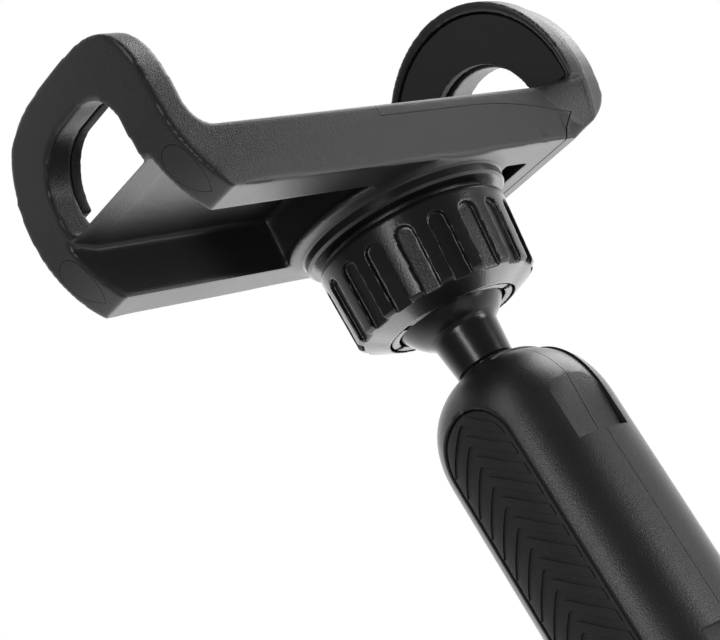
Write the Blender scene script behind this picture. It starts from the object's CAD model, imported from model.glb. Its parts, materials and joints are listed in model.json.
import json
import math
import bpy
import bmesh
from mathutils import Matrix, Vector


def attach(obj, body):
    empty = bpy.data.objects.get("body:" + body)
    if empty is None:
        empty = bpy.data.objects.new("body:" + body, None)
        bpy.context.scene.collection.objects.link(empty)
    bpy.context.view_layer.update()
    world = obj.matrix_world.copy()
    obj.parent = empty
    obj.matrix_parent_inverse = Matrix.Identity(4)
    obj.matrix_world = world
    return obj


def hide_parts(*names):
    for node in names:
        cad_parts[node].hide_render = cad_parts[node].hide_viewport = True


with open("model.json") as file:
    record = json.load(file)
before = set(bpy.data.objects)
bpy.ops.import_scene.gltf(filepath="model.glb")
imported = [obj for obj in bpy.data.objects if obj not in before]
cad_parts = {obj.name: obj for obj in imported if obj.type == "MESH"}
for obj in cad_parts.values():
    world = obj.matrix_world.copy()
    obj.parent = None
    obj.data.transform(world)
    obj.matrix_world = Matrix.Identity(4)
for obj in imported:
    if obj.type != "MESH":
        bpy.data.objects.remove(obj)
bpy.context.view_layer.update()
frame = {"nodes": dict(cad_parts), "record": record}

mm = 0.001
sharpAngle = math.radians(38)  # faces that meet at more than this keep a crisp edge

# The head's frame: ball centre and the cradle's lean, both from the joints
joints = {joint["name"]: joint for joint in frame["record"]["behaviour"]["joints"]}
ballCentre = Vector(joints["ball_nod"]["pos_m"])
headAxis = Vector(joints["collar_turn"]["axis"])
headLean = math.atan2(-headAxis.y, headAxis.z)
headPlace = Matrix.Translation(ballCentre) @ Matrix.Rotation(headLean, 4, "X") @ Matrix.Scale(mm, 4)
ballPlace = Matrix.Translation(ballCentre) @ Matrix.Scale(mm, 4)
handlePlace = Matrix.Scale(mm, 4)


def newPiece(name, mesh):
    piece = bpy.data.objects.new(name, mesh)
    bpy.context.scene.collection.objects.link(piece)
    return piece


def meshFrom(name, bm):
    bmesh.ops.remove_doubles(bm, verts=bm.verts, dist=1e-5)
    bmesh.ops.recalc_face_normals(bm, faces=bm.faces)
    mesh = bpy.data.meshes.new(name)
    bm.to_mesh(mesh)
    bm.free()
    return mesh


planeAxes = {
    "X": lambda u, v, w: (w, u, v),
    "Y": lambda u, v, w: (u, w, v),
    "Z": lambda u, v, w: (u, v, w),
}


# A closed outline stretched along an axis; slant shifts the far end sideways in v
def prism(outline, axis, low, high, slant=0.0):
    place = planeAxes[axis]
    bm = bmesh.new()
    near = [bm.verts.new(place(u, v, low)) for u, v in outline]
    far = [bm.verts.new(place(u, v + slant, high)) for u, v in outline]
    bm.faces.new(near)
    bm.faces.new(far)
    for i in range(len(outline)):
        j = (i + 1) % len(outline)
        bm.faces.new((near[i], near[j], far[j], far[i]))
    return newPiece("blank", meshFrom("blank", bm))


def block(x0, x1, y0, y1, z0, z1):
    return prism([(x0, y0), (x1, y0), (x1, y1), (x0, y1)], "Z", z0, z1)


# A profile of radius and height pairs turned about Z
def turned(profile, around=96, closed=False):
    bm = bmesh.new()
    rings = []
    for radius, height in profile:
        if radius < 1e-6:
            rings.append([bm.verts.new((0, 0, height))] * around)
            continue
        angles = [2 * math.pi * i / around for i in range(around)]
        spots = [(radius * math.cos(a), radius * math.sin(a), height) for a in angles]
        rings.append([bm.verts.new(spot) for spot in spots])
    pairs = list(zip(rings, rings[1:] + rings[:1])) if closed else list(zip(rings, rings[1:]))
    for lower, upper in pairs:
        for i in range(around):
            j = (i + 1) % around
            corners = []
            for vert in (lower[i], lower[j], upper[j], upper[i]):
                if vert not in corners:
                    corners.append(vert)
            if len(corners) > 2:
                bm.faces.new(corners)
    return newPiece("blank", meshFrom("blank", bm))


def rod(radius, axis, u, v, low, high, around=32):
    return prism(arc(u, v, radius, 0, 360, around)[:-1], axis, low, high)


def arc(u, v, radius, start, end, steps, squeeze=1.0):
    points = []
    for i in range(steps + 1):
        angle = math.radians(start + (end - start) * i / steps)
        points.append((u + radius * math.cos(angle), v + squeeze * radius * math.sin(angle)))
    return points


def bow(start, control, end, steps):
    points = []
    for i in range(steps + 1):
        t = i / steps
        points.append(tuple((1 - t) ** 2 * a + 2 * t * (1 - t) * b + t * t * c
                            for a, b, c in zip(start, control, end)))
    return points


# The piece's mirror image across the XZ plane
def mirrored(piece):
    mesh = piece.data.copy()
    scale = Matrix.Identity(4)
    scale[1][1] = -1
    mesh.transform(scale)
    mesh.flip_normals()
    return newPiece("blank", mesh)


# Evaluates the modifiers into a plain mesh
def settle(piece):
    bpy.context.view_layer.update()
    shape = piece.evaluated_get(bpy.context.evaluated_depsgraph_get())
    mesh = bpy.data.meshes.new_from_object(shape)
    piece.modifiers.clear()
    piece.data = mesh
    return piece


def combine(base, others, operation):
    for other in others:
        step = base.modifiers.new("join", "BOOLEAN")
        step.operation = operation
        step.solver = "MANIFOLD"
        step.object = other
        settle(base)
        bpy.data.objects.remove(other)
    return base


def cut(base, *others):
    return combine(base, others, "DIFFERENCE")


def add(base, *others):
    return combine(base, others, "UNION")


def keep(base, *others):
    return combine(base, others, "INTERSECT")


# Rounds the edges as a mould does: an even mesh, smoothed, then thinned where it is flat
def soften(piece, grid, rounds, share):
    even = piece.modifiers.new("even", "REMESH")
    even.mode = "VOXEL"
    even.voxel_size = grid
    smooth = piece.modifiers.new("smooth", "SMOOTH")
    smooth.factor = 0.5
    smooth.iterations = rounds
    thin = piece.modifiers.new("thin", "DECIMATE")
    thin.ratio = share
    return settle(piece)


# Lofts between two outlines with as many points, at two places along X
def taper(near, nearX, far, farX):
    bm = bmesh.new()
    low = [bm.verts.new((nearX, y, z)) for y, z in near]
    high = [bm.verts.new((farX, y, z)) for y, z in far]
    bm.faces.new(low)
    bm.faces.new(high)
    for i in range(len(near)):
        j = (i + 1) % len(near)
        bm.faces.new((low[i], low[j], high[j], high[i]))
    return newPiece("blank", meshFrom("blank", bm))


def finishPiece(piece, name, place, body, nodes, slot):
    piece.name = name
    piece.data.name = name
    piece.data.transform(place)
    piece.data.materials.clear()
    piece.data.materials.append(finishes[slot])
    for face in piece.data.polygons:
        face.use_smooth = True
        face.material_index = 0
    piece.data.set_sharp_from_angle(angle=sharpAngle)
    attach(piece, body)
    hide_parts(*nodes)
    print("made", name, len(piece.data.polygons), "faces")
    return piece


# Geometry Nodes that set copies of a piece round an axis or along a line
def repeatTree(name, material):
    tree = bpy.data.node_groups.new(name, "GeometryNodeTree")
    face = tree.interface
    face.new_socket("Geometry", in_out="INPUT", socket_type="NodeSocketGeometry")
    face.new_socket("Count", in_out="INPUT", socket_type="NodeSocketInt")
    face.new_socket("Turn", in_out="INPUT", socket_type="NodeSocketFloat")
    face.new_socket("Step", in_out="INPUT", socket_type="NodeSocketVector")
    face.new_socket("Geometry", in_out="OUTPUT", socket_type="NodeSocketGeometry")
    nodes, links = tree.nodes, tree.links
    start = nodes.new("NodeGroupInput")
    end = nodes.new("NodeGroupOutput")
    row = nodes.new("GeometryNodeMeshLine")
    row.mode = "OFFSET"
    points = nodes.new("GeometryNodeMeshToPoints")
    index = nodes.new("GeometryNodeInputIndex")
    angle = nodes.new("ShaderNodeMath")
    angle.operation = "MULTIPLY"
    turn = nodes.new("ShaderNodeCombineXYZ")
    copies = nodes.new("GeometryNodeInstanceOnPoints")
    real = nodes.new("GeometryNodeRealizeInstances")
    paint = nodes.new("GeometryNodeSetMaterial")
    paint.inputs["Material"].default_value = material
    links.new(start.outputs["Count"], row.inputs["Count"])
    links.new(start.outputs["Step"], row.inputs["Offset"])
    links.new(row.outputs["Mesh"], points.inputs["Mesh"])
    links.new(index.outputs["Index"], angle.inputs[0])
    links.new(start.outputs["Turn"], angle.inputs[1])
    links.new(angle.outputs["Value"], turn.inputs["Z"])
    links.new(points.outputs["Points"], copies.inputs["Points"])
    links.new(start.outputs["Geometry"], copies.inputs["Instance"])
    links.new(turn.outputs["Vector"], copies.inputs["Rotation"])
    links.new(copies.outputs["Instances"], real.inputs["Geometry"])
    links.new(real.outputs["Geometry"], paint.inputs["Geometry"])
    links.new(paint.outputs["Geometry"], end.inputs["Geometry"])
    return tree


def repeated(piece, tree, count, turn=0.0, step=(0, 0, 0)):
    copies = piece.modifiers.new("copies", "NODES")
    copies.node_group = tree
    sockets = {item.name: item.identifier for item in tree.interface.items_tree
               if item.in_out == "INPUT"}
    copies[sockets["Count"]] = count
    copies[sockets["Turn"]] = turn
    copies[sockets["Step"]] = step
    return settle(piece)


print("helpers ready")

# Materials


def newGroup(name, inputs, outputs):
    group = bpy.data.node_groups.new(name, "ShaderNodeTree")
    for label, value in inputs.items():
        socket = group.interface.new_socket(label, in_out="INPUT", socket_type="NodeSocketFloat")
        socket.default_value = value
    for label in outputs:
        group.interface.new_socket(label, in_out="OUTPUT", socket_type="NodeSocketFloat")
    return group, group.nodes.new("NodeGroupInput"), group.nodes.new("NodeGroupOutput")


# Spark-eroded mould grain: fine pits over a slower swell
def makeMouldGrain():
    group, start, end = newGroup("mouldGrain", {"Scale": 2600.0, "Swell": 220.0}, ["Height"])
    nodes, links = group.nodes, group.links
    where = nodes.new("ShaderNodeTexCoord")
    fine = nodes.new("ShaderNodeTexNoise")
    fine.inputs["Detail"].default_value = 3.0
    pits = nodes.new("ShaderNodeTexVoronoi")
    swell = nodes.new("ShaderNodeTexNoise")
    swell.inputs["Detail"].default_value = 2.0
    mix = nodes.new("ShaderNodeMath")
    mix.operation = "MULTIPLY_ADD"
    mix.inputs[1].default_value = 0.45
    total = nodes.new("ShaderNodeMath")
    total.operation = "MULTIPLY_ADD"
    total.inputs[1].default_value = 0.3
    for texture in (fine, pits, swell):
        links.new(where.outputs["Object"], texture.inputs["Vector"])
    links.new(start.outputs["Scale"], fine.inputs["Scale"])
    links.new(start.outputs["Scale"], pits.inputs["Scale"])
    links.new(start.outputs["Swell"], swell.inputs["Scale"])
    links.new(pits.outputs["Distance"], mix.inputs[0])
    links.new(fine.outputs["Fac"], mix.inputs[2])
    links.new(swell.outputs["Fac"], total.inputs[0])
    links.new(mix.outputs["Value"], total.inputs[2])
    links.new(total.outputs["Value"], end.inputs["Height"])
    return group


# Handling marks: cloudy patches and thin dust that change the sheen a little
def makeHandling():
    group, start, end = newGroup("handling", {"Scale": 60.0, "Dust": 900.0}, ["Smudge", "Dust"])
    nodes, links = group.nodes, group.links
    where = nodes.new("ShaderNodeTexCoord")
    cloud = nodes.new("ShaderNodeTexNoise")
    cloud.inputs["Detail"].default_value = 5.0
    cloud.inputs["Roughness"].default_value = 0.6
    dust = nodes.new("ShaderNodeTexNoise")
    dust.inputs["Detail"].default_value = 1.0
    edge = nodes.new("ShaderNodeMapRange")
    edge.inputs["From Min"].default_value = 0.68
    edge.inputs["From Max"].default_value = 0.76
    links.new(where.outputs["Object"], cloud.inputs["Vector"])
    links.new(where.outputs["Object"], dust.inputs["Vector"])
    links.new(start.outputs["Scale"], cloud.inputs["Scale"])
    links.new(start.outputs["Dust"], dust.inputs["Scale"])
    links.new(dust.outputs["Fac"], edge.inputs["Value"])
    links.new(cloud.outputs["Fac"], end.inputs["Smudge"])
    links.new(edge.outputs["Result"], end.inputs["Dust"])
    return group


mouldGrain = makeMouldGrain()
handling = makeHandling()


def rangeNode(material, source, low, high):
    node = material.node_tree.nodes.new("ShaderNodeMapRange")
    node.inputs["From Min"].default_value = 0.3
    node.inputs["From Max"].default_value = 0.7
    node.inputs["To Min"].default_value = low
    node.inputs["To Max"].default_value = high
    material.node_tree.links.new(source, node.inputs["Value"])
    return node.outputs["Result"]


def makePlastic(name, look):
    material = bpy.data.materials.new(name)
    material.use_nodes = True
    nodes, links = material.node_tree.nodes, material.node_tree.links
    shader = nodes["Principled BSDF"]
    shader.inputs["IOR"].default_value = 1.5
    shader.inputs["Metallic"].default_value = look.get("metal", 0.0)
    shader.inputs["Specular IOR Level"].default_value = look.get("specular", 0.5)
    grain = nodes.new("ShaderNodeGroup")
    grain.node_tree = mouldGrain
    grain.inputs["Scale"].default_value = look["grainScale"]
    grain.inputs["Swell"].default_value = look.get("swell", 220.0)
    marks = nodes.new("ShaderNodeGroup")
    marks.node_tree = handling
    tint = nodes.new("ShaderNodeMix")
    tint.data_type = "RGBA"
    shade = look["shade"]
    darker, paler = shade * 0.86, shade * 1.16
    tint.inputs["A"].default_value = (darker, darker, darker, 1)
    tint.inputs["B"].default_value = (paler, paler, paler, 1)
    links.new(marks.outputs["Smudge"], tint.inputs["Factor"])
    dusty = nodes.new("ShaderNodeMix")
    dusty.data_type = "RGBA"
    pale = look.get("dust", shade * 1.6)
    dusty.inputs["B"].default_value = (pale, pale, pale, 1)
    links.new(tint.outputs["Result"], dusty.inputs["A"])
    links.new(marks.outputs["Dust"], dusty.inputs["Factor"])
    links.new(dusty.outputs["Result"], shader.inputs["Base Color"])
    smooth, dull = look["rough"] - 0.04, look["rough"] + 0.05
    roughness = rangeNode(material, marks.outputs["Smudge"], smooth, dull)
    links.new(roughness, shader.inputs["Roughness"])
    bump = nodes.new("ShaderNodeBump")
    bump.inputs["Strength"].default_value = look["grain"]
    bump.inputs["Distance"].default_value = look.get("depth", 0.00006)
    links.new(grain.outputs["Height"], bump.inputs["Height"])
    links.new(bump.outputs["Normal"], shader.inputs["Normal"])
    return material


looks = {
    "shell": {"shade": 0.011, "rough": 0.36, "grain": 0.5, "grainScale": 5200, "swell": 900.0},
    "cradle": {"shade": 0.011, "rough": 0.38, "grain": 0.55, "grainScale": 5200, "swell": 900.0},
    "collar": {"shade": 0.008, "rough": 0.26, "grain": 0.2, "grainScale": 3400},
    "stud": {"shade": 0.008, "rough": 0.24, "grain": 0.12, "grainScale": 3600},
    "rubber": {"shade": 0.008, "rough": 0.62, "grain": 0.5, "grainScale": 2600, "specular": 0.4},
    "nylon": {"shade": 0.62, "rough": 0.45, "grain": 0.15, "grainScale": 2600, "dust": 0.5},
    "tube": {"shade": 0.60, "rough": 0.22, "grain": 0.06, "grainScale": 3000, "metal": 1.0,
             "dust": 0.45},
    "steel": {"shade": 0.55, "rough": 0.32, "grain": 0.12, "grainScale": 2600, "metal": 1.0,
              "dust": 0.4},
}
finishes = {name: makePlastic(name, look) for name, look in looks.items()}
ringTree = repeatTree("roundTheAxis", finishes["collar"])
rowTree = repeatTree("downTheGrip", finishes["rubber"])

slotOf = {part["node"]: part["material_slot"] for part in frame["record"]["subparts"]}
for node, piece in frame["nodes"].items():
    piece.data.materials.clear()
    piece.data.materials.append(finishes[slotOf[node]])
print("materials ready")

# Cradle
cradle = {
    "low": 11.5, "high": 19.9, "halfWidth": 16.4, "lean": 0.62,
    "grid": 0.33, "rounds": 4, "share": 0.62,
    "outer": -45.6, "inner": -41.6, "foot": -38.7, "top": 38.0, "corner": 9.5, "fillet": 3.2,
    "footTop": 24.4, "footBend": 16.5, "footBulge": 0.1, "footRun": 5.5,
    "crown": 0.6, "square": 3.3, "shoulder": 20.0,
    "right": 19.4, "plate": 0.9, "recessHalf": 10.4, "recessEnd": -12.9,
    "holeHalf": 9.2, "holeTop": 31.4, "holeCorner": 7.0,
    "creaseHeight": 18.2, "creaseLeft": 280.0, "creaseRight": 114.0, "creaseFlat": 4.0,
}
tray = {"left": -12.6, "thick": 1.6, "skirt": 1.6, "gap": 0.07}
pocket = {"left": 10.0, "right": 16.5, "half": 10.2, "top": 16.5, "wall": 14.9}
boss = {"band": 14.6, "flare": 16.4, "neck": 11.3, "low": 9.3, "step": 12.2}
spring = {"offset": 13.2, "height": 14.4, "room": 1.9, "start": -37.3, "past": 3.3}


def crease(x):
    left = max(0.0, -x - cradle["creaseFlat"]) ** 2 / cradle["creaseLeft"]
    right = max(0.0, x - cradle["creaseFlat"]) ** 2 / cradle["creaseRight"]
    return cradle["creaseHeight"] - left - right


def creaseLine(start, end, lift=0.0, steps=40):
    spots = [start + (end - start) * i / steps for i in range(steps + 1)]
    return [(x, crease(x) + lift) for x in spots]


def arch(half, low, top, corner, steps=16):
    return ([(-half, low), (half, low)]
            + arc(half - corner, top - corner, corner, 0, 90, steps)
            + arc(corner - half, top - corner, corner, 90, 180, steps))


# The slanted right end of the cradle's floor, moved left by a gap
def endSlant(gap):
    c = cradle
    end = c["right"] - gap
    return [(end, c["low"]), (end + 0.8, c["low"] + 1.6), (end + 3.1, c["low"] + 3.8)]


def cradleProfile():
    c = cradle
    points = endSlant(0.0)
    points += [(points[-1][0], c["high"])]
    points += bow((c["foot"], c["high"]), (c["inner"] + 0.4, c["high"] + 0.4),
                  (c["inner"], c["high"] + c["fillet"]), 12)
    points += [(c["inner"], c["top"])]
    points += bow((c["outer"] + c["crown"], c["top"]), (c["outer"], c["top"] - 5.0),
                  (c["outer"], c["footTop"]), 16)[:-1]
    points += footCurve(24)
    return points


# The fixed jaw's slanted foot, from its outer face to the bottom
def footCurve(steps):
    c = cradle
    return bow((c["outer"], c["footTop"]), (c["outer"] + c["footBulge"], c["footBend"]),
               (c["outer"] + c["footRun"], c["low"]), steps)


# The fixed jaw's outline seen along X: upright sides that close over in a rounded top
def jawOutline():
    c = cradle
    rise = c["top"] - c["shoulder"]
    points = [(-c["halfWidth"], 0), (c["halfWidth"], 0)]
    for i in range(65):
        angle = math.pi * i / 64
        across, along = math.cos(angle), math.sin(angle)
        reach = (abs(across) ** c["square"] + along ** c["square"]) ** (-1 / c["square"])
        points.append((c["halfWidth"] * reach * across, c["shoulder"] + rise * reach * along))
    return points


def leanCutters():
    c = cradle
    reach = 2.0 * c["lean"]
    fall = -(c["creaseHeight"] - c["low"]) * reach / c["lean"]
    end = c["right"] + 0.6
    region = [(c["outer"] - 1, -30), (end, -30)] + list(reversed(creaseLine(c["outer"] - 1, end)))
    near = prism(region, "Y", -c["halfWidth"], -c["halfWidth"] + reach, slant=fall)
    return [near, mirrored(near)]


# A teardrop on the jaw's slanted foot
plug = {"width": 4.5, "length": 6.3, "low": 12.6, "middle": 13.35, "depth": 0.8, "gap": 0.07}


def plugOutline(side, grown):
    half = plug["width"] / 2 + grown
    shoulder = plug["low"] + plug["length"] - plug["width"] / 2
    tip = plug["low"] - grown
    points = bow((-half, shoulder), (-half, tip + half / 2), (0, tip), 8)
    points += bow((0, tip), (half, tip + half / 2), (half, shoulder), 8)[1:]
    points += arc(0, shoulder, half, 0, 180, 14)[1:-1]
    return [(side * plug["middle"] + y, z) for y, z in points]


# Everything deeper than the plug's flat back
def plugFloor(depth):
    spots = footCurve(20)
    middle, after = spots[13], spots[14]
    length = math.dist(middle, after)
    along = ((after[0] - middle[0]) / length, (after[1] - middle[1]) / length)
    inward = (-along[1], along[0])
    spot = (middle[0] + inward[0] * depth, middle[1] + inward[1] * depth)
    corners = [(-30, 0), (30, 0), (30, 40), (-30, 40)]
    points = [(spot[0] + along[0] * s + inward[0] * t, spot[1] + along[1] * s + inward[1] * t)
              for s, t in corners]
    return prism(points, "Y", -40, 40)


def copyOf(piece):
    return newPiece("blank", piece.data.copy())


# The sliding jaw's upright disc and curved foot
def jawBlank():
    c, j = cradle, jaw
    top = j["centre"] + j["radius"] + 1
    start = c["right"] - 4
    profile = [(start, c["high"]), (start, c["low"]), (c["right"] + 2.0, c["low"])]
    profile += bow((j["outer"] - 5.0, c["low"] + 1.6), (j["outer"] - 2.0, c["low"] + 2.6),
                   (j["outer"], c["low"] + 5.4), 10)
    profile += [(j["outer"], top), (j["inner"], top), (j["inner"], c["high"])]
    blank = prism(profile, "Y", -30, 30)
    low = c["low"] - 1
    wide = disc(j["radius"], j["centre"], j["inner"], j["rim"], c["high"] - 0.2)
    bulge = j["radius"] - j["step"]
    add(wide, taper(halfDisc(bulge, j["centre"], low), j["rim"] - 0.3,
                    halfDisc(j["face"], j["centre"], low), j["outer"]))
    side = c["halfWidth"] - 0.3
    add(wide, block(0, j["inner"] + 0.2, -side, side, 0, c["high"]))
    add(wide, block(j["inner"] - 1, 40, -side, side, 0, j["centre"]))
    # The sides flare from the tray out to the disc below its middle
    broad = [(y, z) for y, z in halfDisc(bulge, j["centre"], low) if z <= j["centre"]]
    share = (c["high"] - low) / (j["centre"] - low)
    slim = [(y * c["halfWidth"] / bulge, low + (z - low) * share) for y, z in broad]
    add(wide, taper(slim, c["right"] - 1.0, broad, j["rim"] + 0.2))
    return keep(blank, wide)


# Cradle and sliding jaw as one moulded form, before they are parted
def makeForm():
    c, j = cradle, jaw
    form = prism(cradleProfile(), "Y", -20, 20)
    keep(form, prism(jawOutline(), "X", -60, 60))
    cut(form, *leanCutters())
    add(form, jawBlank())
    under = c["high"] - c["plate"]
    cut(form, block(-60, c["recessEnd"], -c["recessHalf"], c["recessHalf"], 0, under))
    sill = [(-47, 18.5), (-41.3, 18.5), (-41.3, 19.05), (-45.6, 20.0), (-47, 20.3)]
    cut(form, prism(sill, "Y", -c["recessHalf"], c["recessHalf"]))
    neck, band, flare = boss["neck"], boss["band"] - 0.1, boss["flare"]
    start, step, top = boss["low"] - 1.2, boss["low"] + 0.4, c["low"] + 1.0
    foot = turned([(0, start), (neck, start), (neck, step), (band, step), (band, c["low"] - 0.7),
                   (flare, c["low"] + 0.05), (flare, top), (0, top)])
    keep(foot, block(-60, 60, -c["halfWidth"] + c["lean"], c["halfWidth"] - c["lean"], 0, 40))
    add(form, foot)
    half = pocket["half"]
    window = block(pocket["left"], pocket["right"], -half, half, 0, pocket["top"])
    cut(window, rod(pocket["wall"], "Z", 0, 0, -1, 30, 96))
    cut(form, window)
    ledge = c["high"] + 0.1
    opening = arch(c["holeHalf"], ledge, c["holeTop"], c["holeCorner"])
    cut(form, prism(opening, "X", -60, -34))
    cut(form, disc(j["holeRadius"], j["holeCentre"], j["inner"] - 2, 40, ledge))
    cut(form, disc(j["radius"] - 0.9, j["centre"] - 0.7, j["inner"] - 1, j["inner"] + 2.1,
                   c["high"] + 0.2))
    soften(form, c["grid"], c["rounds"], c["share"])
    groove = disc(j["radius"] + 1, j["centre"], j["rim"] - 0.05, j["rim"] + 0.35, c["high"] + 0.5)
    cut(groove, disc(j["radius"] - 0.75, j["centre"], j["rim"] - 1, j["rim"] + 1, 0))
    return cut(form, groove)


# Where the sliding jaw ends and the cradle begins, grown by a gap
def trayRegion(gap):
    c, t = cradle, tray
    left = t["left"] - gap
    under = c["high"] - t["thick"] - gap
    end = endSlant(3.5 * gap)
    upper = [(left, under), (end[2][0], under)] + end[::-1]
    upper += [(end[0][0], -5), (60, -5), (60, 60), (left, 60)]
    region = prism(upper, "Y", -40, 40)
    parting = [(x, z if x > c["creaseFlat"] else c["creaseHeight"] - gap)
               for x, z in creaseLine(left, end[2][0] + 0.5, -gap)]
    parting += [(end[2][0] + 0.5, 60), (left, 60)]
    inside = c["halfWidth"] - t["skirt"] - gap
    add(region, prism(parting, "Y", -40, -inside), prism(parting, "Y", inside, 40))
    return region


def makeCradle():
    c = cradle
    form = makeForm()
    slider = keep(copyOf(form), trayRegion(0.0))
    body = cut(copyOf(form), trayRegion(tray["gap"]))
    for side, name in ((-1, "near"), (1, "far")):
        seat = prism(plugOutline(side, plug["gap"]), "X", -60, -36)
        cut(body, cut(seat, plugFloor(plug["depth"] + plug["gap"])))
        piece = prism(plugOutline(side, 0.0), "X", -60, -36)
        keep(piece, copyOf(form))
        cut(piece, plugFloor(plug["depth"]))
        plugName = "cornerPlug" + name.title()
        finishPiece(piece, plugName, headPlace, "cradle", ["corner_plug_" + name], "cradle")
        across = side * spring["offset"]
        cut(body, rod(spring["room"], "X", across, spring["height"], spring["start"], 40))
        cut(slider, rod(spring["room"], "X", across, spring["height"], 0,
                        c["right"] + spring["past"]))
    bpy.data.objects.remove(form)
    cut(body, turned(arcDome(socket["cavity"]), 48))
    finishPiece(body, "cradleBody", headPlace, "cradle", ["cradle_body"], "cradle")
    finishPiece(slider, "slidingJaw", headPlace, "jaw", ["slider_jaw"], "cradle")
    band = turned([
        (boss["step"], boss["low"]), (boss["band"] - 0.35, boss["low"]),
        (boss["band"] + 0.02, boss["low"] + 0.35), (boss["band"] + 0.02, c["low"] - 0.85),
        (boss["band"] + 0.3, c["low"] - 0.6), (boss["step"], c["low"] - 0.6)],
        around=160, closed=True)
    finishPiece(band, "bossBand", headPlace, "cradle", [], "collar")


# The ball's room inside the boss: a well with a round top
def arcDome(radius):
    top = arc(0, 0, radius, 0, 90, 16)[1:-1]
    return [(0, -40), (radius, -40), (radius, 0)] + top + [(0, radius)]


# Sliding jaw
jaw = {
    "inner": 23.2, "rim": 26.0, "outer": 30.0, "radius": 19.0, "centre": 22.0, "holeRadius": 10.7,
    "holeCentre": 20.5, "step": 0.15, "face": 17.8,
}


def halfDisc(radius, centre, low, steps=64):
    start = math.degrees(math.asin(max(-1.0, (low - centre) / radius)))
    return arc(0, centre, radius, start, 180 - start, steps)


def disc(radius, centre, x0, x1, low=0.0):
    return prism(halfDisc(radius, centre, low), "X", x0, x1)


# Rubber pads of both jaws
pads = {"thick": 1.5, "margin": 2.2, "archMargin": 0.6, "gap": 0.3, "seat": 0.02,
        "grid": 0.24, "rounds": 3, "share": 0.6}


def makePads():
    c, j, p = cradle, jaw, pads
    back = c["inner"] + p["seat"]
    low = c["high"] + c["fillet"] + p["gap"]
    inset = p["margin"]
    face = arch(c["halfWidth"] - inset, low, c["top"] - inset, c["corner"] - inset)
    left = prism(face, "X", back, back + p["thick"])
    opening = arch(c["holeHalf"], c["high"], c["holeTop"], c["holeCorner"])
    cut(left, prism(opening, "X", -60, -30))
    soften(left, p["grid"], p["rounds"], p["share"])
    finishPiece(left, "fixedJawPad", headPlace, "cradle", ["left_jaw_pad"], "rubber")
    face = j["inner"] + p["gap"]
    right = disc(j["radius"] - 1.2, j["centre"] - 0.7, face, face + p["thick"], c["high"] + 0.5)
    cut(right, disc(j["holeRadius"] + p["archMargin"], j["holeCentre"], 0, 40, c["high"] - 1))
    soften(right, p["grid"], p["rounds"], p["share"])
    finishPiece(right, "slidingJawPad", headPlace, "jaw", ["right_jaw_pad"], "rubber")


# Socket fingers and lock collar
socket = {"lip": 4.4, "sphere": 8.87, "wall": 1.2, "neck": 11.3, "fingers": 6, "slot": 1.2,
          "slotTop": 1.6, "top": 8.0, "cavity": 10.1,
          "chamfer": 0.4, "slope": 1.4, "grid": 0.17, "rounds": 2, "share": 0.6}
collar = {"low": 2.7, "mouth": 4.5, "mouthRadius": 9.2, "radius": 13.0, "flare": 0.65, "top": 8.4,
          "bore": 11.6, "grooves": 18, "grooveWidth": 2.5, "grooveDepth": 0.7, "land": 2.2,
          "grid": 0.14, "rounds": 3, "share": 0.62}


# The finger tips' radius and the depths between which their cone runs, below the ball centre
def fingerCone():
    s = socket
    tip = math.sqrt(s["sphere"] ** 2 - s["lip"] ** 2) + s["wall"]
    low = s["lip"] - s["chamfer"]
    return tip, low, low - (s["neck"] - tip) * s["slope"]


def makeFingers():
    s = socket
    outer, coneLow, coneHigh = fingerCone()
    lowAngle = math.degrees(math.asin(-s["lip"] / s["sphere"]))
    profile = [(outer, -s["lip"]), (outer, -coneLow), (s["neck"], -coneHigh), (s["neck"], s["top"])]
    profile += [(s["cavity"], s["top"]), (s["cavity"], 2.0)]
    profile += arc(0, 0, s["sphere"], 12, lowAngle, 14)
    ring = turned(profile, closed=True)
    slots = block(-20, 20, -s["slot"] / 2, s["slot"] / 2, -10, s["slotTop"])
    for i in range(s["fingers"] // 2):
        blade = copyOf(slots)
        blade.data.transform(Matrix.Rotation(2 * math.pi * i / s["fingers"], 4, "Z"))
        cut(ring, blade)
    bpy.data.objects.remove(slots)
    soften(ring, s["grid"], s["rounds"], s["share"])
    finishPiece(ring, "socketFingers", headPlace, "cradle", [], "collar")


# One groove's cutter, standing on the collar's conical wall
def grooveCutter():
    c = collar
    half = c["grooveWidth"] / 2
    low = -c["mouth"] - 2
    outline = arch(half, low, c["top"] - c["land"], half * 0.98, 10)
    lean = math.atan2(c["flare"], c["top"] + c["low"])
    cutter = prism(outline, "X", -c["grooveDepth"], 4)
    cutter.data.transform(Matrix.Rotation(lean, 4, "Y"))
    middle = c["radius"] + c["flare"] * (c["low"] / (c["top"] + c["low"]))
    cutter.data.transform(Matrix.Translation((middle, 0, 0)))
    return cutter


def makeCollar():
    c = collar
    flare = c["radius"] + c["flare"]
    coneLow, coneHigh = fingerCone()[1:]
    ring = turned([
        (c["mouthRadius"], -c["mouth"]),
        (c["radius"] - 0.5, -c["low"] - 0.24), (c["radius"], -c["low"] + 0.2),
        (flare - 0.05, c["top"] - 0.6), (flare - 0.4, c["top"]), (c["bore"], c["top"]),
        (c["bore"], -coneHigh), (c["mouthRadius"], -coneLow)], around=160, closed=True)
    cutters = repeated(grooveCutter(), ringTree, c["grooves"], turn=2 * math.pi / c["grooves"])
    cut(ring, cutters)
    soften(ring, c["grid"], c["rounds"], c["share"])
    finishPiece(ring, "lockCollar", headPlace, "collar", ["lock_collar"], "collar")


# Ball stud
stud = {"ball": 8.5, "neckTop": 4.6, "neckFoot": 4.1, "foot": -12.6, "around": 96}


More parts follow.
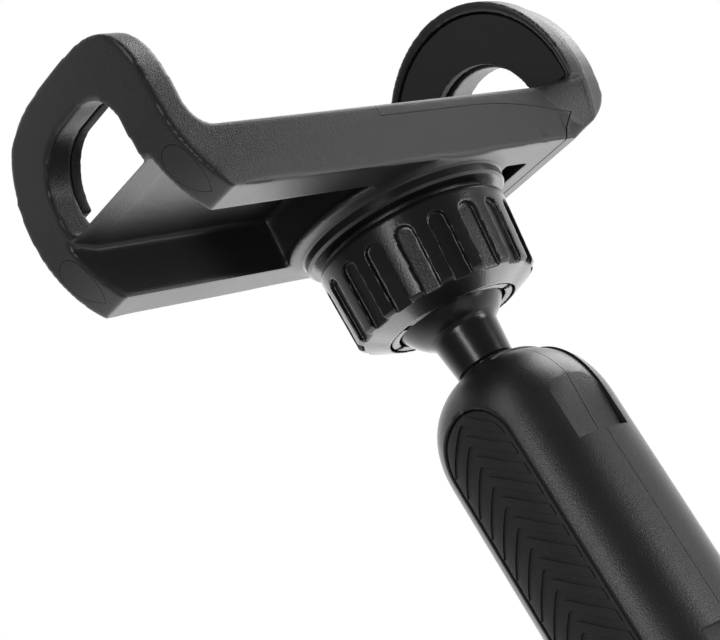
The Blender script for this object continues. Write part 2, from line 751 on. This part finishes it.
def makeStud():
    s = stud
    meets = -math.sqrt(s["ball"] ** 2 - s["neckTop"] ** 2)
    start = math.degrees(math.asin(meets / s["ball"]))
    bevel = 0.25
    profile = [(0, s["foot"]), (s["neckFoot"] - bevel, s["foot"])]
    profile += [(s["neckFoot"], s["foot"] + bevel)]
    profile += bow((s["neckTop"] - 0.02, meets - 0.8), (s["neckTop"], meets - 0.1),
                   (s["neckTop"] + 0.35, meets + 0.2), 8)
    profile += arc(0, 0, s["ball"], start + 3, 90, 48)[:-1] + [(0, s["ball"])]
    ball = turned(profile, s["around"])
    finishPiece(ball, "ballStud", ballPlace, "stud", ["ball_stud"], "stud")


# Handle
handle = {
    "height": 139.7, "halfX": 11.0, "halfY": 11.45, "square": 2.56, "dome": 12.5, "round": 2.3,
    "wall": 2.0, "cap": 6.0, "neckHole": 4.35, "seam": 0.04,
    "grid": 0.28, "rounds": 2, "share": 0.3,
    "recessHalf": 4.75, "recessDepth": 1.3, "recessLength": 17.3, "recessInset": 0.25,
    "bridge": 27.3, "screwHole": 2.0, "screwHoleDepth": 2.7, "screwOffset": 6.4,
}
grip = {"half": 6.2, "top": 6.2, "bottom": 16.0, "arch": 6.3, "depth": 1.2, "gap": 0.1,
        "grid": 0.26, "rounds": 2, "share": 0.5,
        "pitch": 3.0, "first": 5.6, "drop": 5.3, "reach": 6.2, "band": 1.5,
        "sink": 0.2, "border": 0.45}


def sectionPoint(angle, inset=0.0):
    c, s = math.cos(angle), math.sin(angle)
    power = handle["square"]
    reach = ((abs(c) / (handle["halfX"] - inset)) ** power
             + (abs(s) / (handle["halfY"] - inset)) ** power) ** (-1 / power)
    return reach * c, reach * s


# The handle's outer form, drawn in by an inset, with its dome
def loft(inset, low, around=144, domeSteps=28):
    h = handle
    levels = [(1.0, low)]
    for i in range(domeSteps + 1):
        rise = math.sin(math.radians(90 * i / domeSteps))
        radius = max(0.0, 1 - rise ** h["round"]) ** (1 / h["round"])
        levels.append((radius, h["height"] - inset - h["dome"] * (1 - rise)))
    levels[-1] = (0.0, h["height"] - inset)
    bm = bmesh.new()
    rings = []
    for radius, z in levels:
        if radius < 1e-6:
            rings.append([bm.verts.new((0, 0, z))] * around)
            continue
        points = [sectionPoint(2 * math.pi * i / around, inset) for i in range(around)]
        rings.append([bm.verts.new((radius * x, radius * y, z)) for x, y in points])
    bm.faces.new(rings[0][::-1])
    for lower, upper in zip(rings, rings[1:]):
        for i in range(around):
            j = (i + 1) % around
            corners = []
            for vert in (lower[i], lower[j], upper[j], upper[i]):
                if vert not in corners:
                    corners.append(vert)
            bm.faces.new(corners)
    return newPiece("blank", meshFrom("blank", bm))


def gripOutline(grown):
    h, g = handle, grip
    half = g["half"] + grown
    high = h["height"] - g["top"] - g["arch"] + grown
    low = g["bottom"] + g["arch"] - grown
    return (arc(0, high, half, 0, 180, 32, g["arch"] / half)
            + arc(0, low, half, 180, 360, 32, g["arch"] / half))


def recessCutters():
    h = handle
    face = -h["halfY"]
    notchHigh = h["height"] - h["recessLength"]
    notchLow = notchHigh - h["bridge"]
    away, floor = face - 3, face + h["recessDepth"]
    upper = [(away, notchHigh), (floor, notchHigh), (face, notchHigh + h["recessLength"]),
             (away, notchHigh + h["recessLength"])]
    fadeLow = notchLow - h["recessLength"]
    lower = [(away, fadeLow), (face, fadeLow), (floor, notchLow), (away, notchLow)]
    cutters = [prism(shape, "X", -h["recessHalf"], h["recessHalf"]) for shape in (upper, lower)]
    band = block(-h["recessHalf"], h["recessHalf"], -30, -h["neckHole"] - 1, notchHigh, 200)
    cut(band, loft(h["recessInset"], 1))
    cutters.append(band)
    return cutters + [mirrored(cutter) for cutter in cutters]


def makeShells():
    h, g = handle, grip
    whole = loft(0, 1)
    for side in (-1, 1):
        seat = prism(gripOutline(g["gap"]), "X", *sorted((side * 0.5, side * 30)))
        cut(seat, loft(g["depth"], 0))
        cut(whole, seat)
    cut(whole, turned([(0, 100), (h["neckHole"], 100), (h["neckHole"], 200), (0, 200)], 64))
    soften(whole, h["grid"], h["rounds"], h["share"])
    cut(whole, *recessCutters())
    cut(whole, block(-30, 30, -30, 30, -10, h["cap"]))
    cut(whole, turned([(0, 0), (h["neckHole"], 0), (h["neckHole"], 120), (0, 120)], 64))
    inside = loft(h["wall"] + 0.5, -5)
    keep(inside, block(-30, 30, -30, 30, -5, h["height"] - 10))
    cut(whole, inside)
    for side, name in ((-1, "left"), (1, "right")):
        half = copyOf(whole)
        keep(half, block(*sorted((side * h["seam"], side * 30)), -30, 30, 0, 200))
        finishPiece(half, name + "Shell", handlePlace, "handle", ["handle_shell_" + name], "shell")
    bpy.data.objects.remove(whole)


# One chevron bar with its point up, as wide as the grip
def chevron(side):
    h, g = handle, grip
    steps = 32
    apex = h["height"] - g["first"]
    crest = []
    for i in range(steps + 1):
        y = g["reach"] * (i / steps * 2 - 1)
        crest.append((y, apex - g["drop"] * math.hypot(y / g["reach"], 0.05)))
    outline = crest + [(y, z - g["band"]) for y, z in reversed(crest)]
    return prism(outline, "X", *sorted((side * 3.0, side * 14.0)))


def makeGrips():
    h, g = handle, grip
    length = h["height"] - g["first"] - g["bottom"]
    count = int(length / g["pitch"]) + 1
    for side, name in ((-1, "left"), (1, "right")):
        span = sorted((side * 0.5, side * 30))
        insert = prism(gripOutline(0), "X", *span)
        keep(insert, loft(g["sink"], 1))
        cut(insert, loft(g["depth"] - g["gap"], 0))
        soften(insert, g["grid"], g["rounds"], g["share"])
        finishPiece(insert, name + "Grip", handlePlace, "handle", ["grip_insert_" + name], "rubber")
        ridges = repeated(chevron(side), rowTree, count, step=(0, 0, -g["pitch"]))
        keep(ridges, prism(gripOutline(-g["border"]), "X", *span))
        keep(ridges, loft(0.03, 1))
        cut(ridges, loft(g["sink"] + 0.4, 0))
        finishPiece(ridges, name + "GripChevrons", handlePlace, "handle", [], "rubber")


def makeCap():
    h = handle
    cap = loft(0, 0)
    keep(cap, block(-30, 30, -30, 30, 0, h["cap"] - 0.05))
    for side in (-1, 1):
        radius, depth = h["screwHole"], h["screwHoleDepth"]
        hole = turned([(0, -1), (radius, -1), (radius, depth), (0, depth)], 48)
        hole.data.transform(Matrix.Translation((side * h["screwOffset"], 0, 0)))
        cut(cap, hole)
    soften(cap, 0.3, 3, 0.5)
    finishPiece(cap, "endCap", handlePlace, "handle", ["end_cap"], "shell")


makeCradle()
makePads()
makeFingers()
makeCollar()
makeStud()
makeShells()
makeGrips()
makeCap()

# Studio
studio = {
    "turn": -46.11, "rise": -19.33, "roll": -31.24, "distance": 0.25649,
    "right": 0.010416, "up": 0.004020, "lens": 96.35,
    "brightSide": (0.69, 0.69, -0.2), "glowFrom": -0.2, "glowTo": 0.95, "dim": 0.12, "bright": 1.9,
}


def makeStudio():
    s = studio
    turn, rise, roll = (math.radians(s[key]) for key in ("turn", "rise", "roll"))
    flat = math.cos(rise)
    back = Vector((math.sin(turn) * flat, -math.cos(turn) * flat, math.sin(rise)))
    level = Vector((math.cos(turn), math.sin(turn), 0))
    upright = back.cross(level)
    right = math.cos(roll) * level + math.sin(roll) * upright
    up = -math.sin(roll) * level + math.cos(roll) * upright
    camera = bpy.data.cameras.new("view")
    camera.lens = s["lens"]
    camera.sensor_width = 36
    camera.clip_start = 0.01
    stand = bpy.data.objects.new("view", camera)
    bpy.context.scene.collection.objects.link(stand)
    frameOfView = Matrix((right, up, back)).transposed().to_4x4()
    aim = ballCentre - s["right"] * right - s["up"] * up
    frameOfView.translation = aim + s["distance"] * back
    stand.matrix_world = frameOfView
    bpy.context.scene.camera = stand
    return right, up, back


right, up, back = makeStudio()


# A softbox that faces the ball
def lamp(name, place, size, power):
    light = bpy.data.lights.new(name, "AREA")
    light.shape = "RECTANGLE"
    light.size, light.size_y = size
    light.energy = power
    holder = bpy.data.objects.new(name, light)
    bpy.context.scene.collection.objects.link(holder)
    holder.location = place
    holder.rotation_euler = (ballCentre - place).to_track_quat("-Z", "Y").to_euler()


# A place given along the camera's own axes
def fromView(r, u, b):
    return ballCentre + r * right + u * up + b * back


# A place turned about the stick from the camera, in degrees, at a reach and height
def aside(degrees, reach, height):
    angle = math.radians(degrees)
    flat = Vector((back.x, back.y, 0)).normalized()
    across = Vector((-flat.y, flat.x, 0))
    away = math.cos(angle) * flat + math.sin(angle) * across
    return ballCentre + reach * away + Vector((0, 0, height))


below = ballCentre + 0.55 * Vector((0.5, 0.5, -0.7))
lamp("keyBox", fromView(-0.45, 0.35, 0.3), (0.35, 0.35), 1.2)
lamp("fillBox", fromView(0.5, -0.35, 0.45), (0.4, 0.4), 0.25)
lamp("frontStrip", aside(-18, 0.5, -0.1), (0.09, 0.4), 1.1)
lamp("sideStrip", aside(80, 0.5, -0.16), (0.12, 0.4), 1.2)
lamp("rimBox", fromView(0.25, 0.5, -0.4), (0.4, 0.4), 2.4)
lamp("underBox", below, (0.5, 0.5), 2.0)

world = bpy.data.worlds.new("studio")
bpy.context.scene.world = world
world.use_nodes = True
worldNodes, worldLinks = world.node_tree.nodes, world.node_tree.links
# The backdrop is even; what the pieces reflect is dim by the camera and bright behind them
seen = worldNodes.new("ShaderNodeLightPath")
where = worldNodes.new("ShaderNodeTexCoord")
toward = worldNodes.new("ShaderNodeVectorMath")
toward.operation = "DOT_PRODUCT"
toward.inputs[1].default_value = studio["brightSide"]
glow = worldNodes.new("ShaderNodeMapRange")
glow.interpolation_type = "SMOOTHSTEP"
glow.inputs["From Min"].default_value = studio["glowFrom"]
glow.inputs["From Max"].default_value = studio["glowTo"]
glow.inputs["To Min"].default_value = studio["dim"]
glow.inputs["To Max"].default_value = studio["bright"]
strength = worldNodes.new("ShaderNodeMix")
strength.inputs["B"].default_value = 1.0
worldLinks.new(where.outputs["Generated"], toward.inputs[0])
worldLinks.new(toward.outputs["Value"], glow.inputs["Value"])
worldLinks.new(glow.outputs["Result"], strength.inputs["A"])
worldLinks.new(seen.outputs["Is Camera Ray"], strength.inputs["Factor"])
worldLinks.new(strength.outputs["Result"], worldNodes["Background"].inputs["Strength"])
worldNodes["Background"].inputs["Color"].default_value = (1, 1, 1, 1)
bpy.context.scene.view_settings.view_transform = "Standard"
print("studio ready")
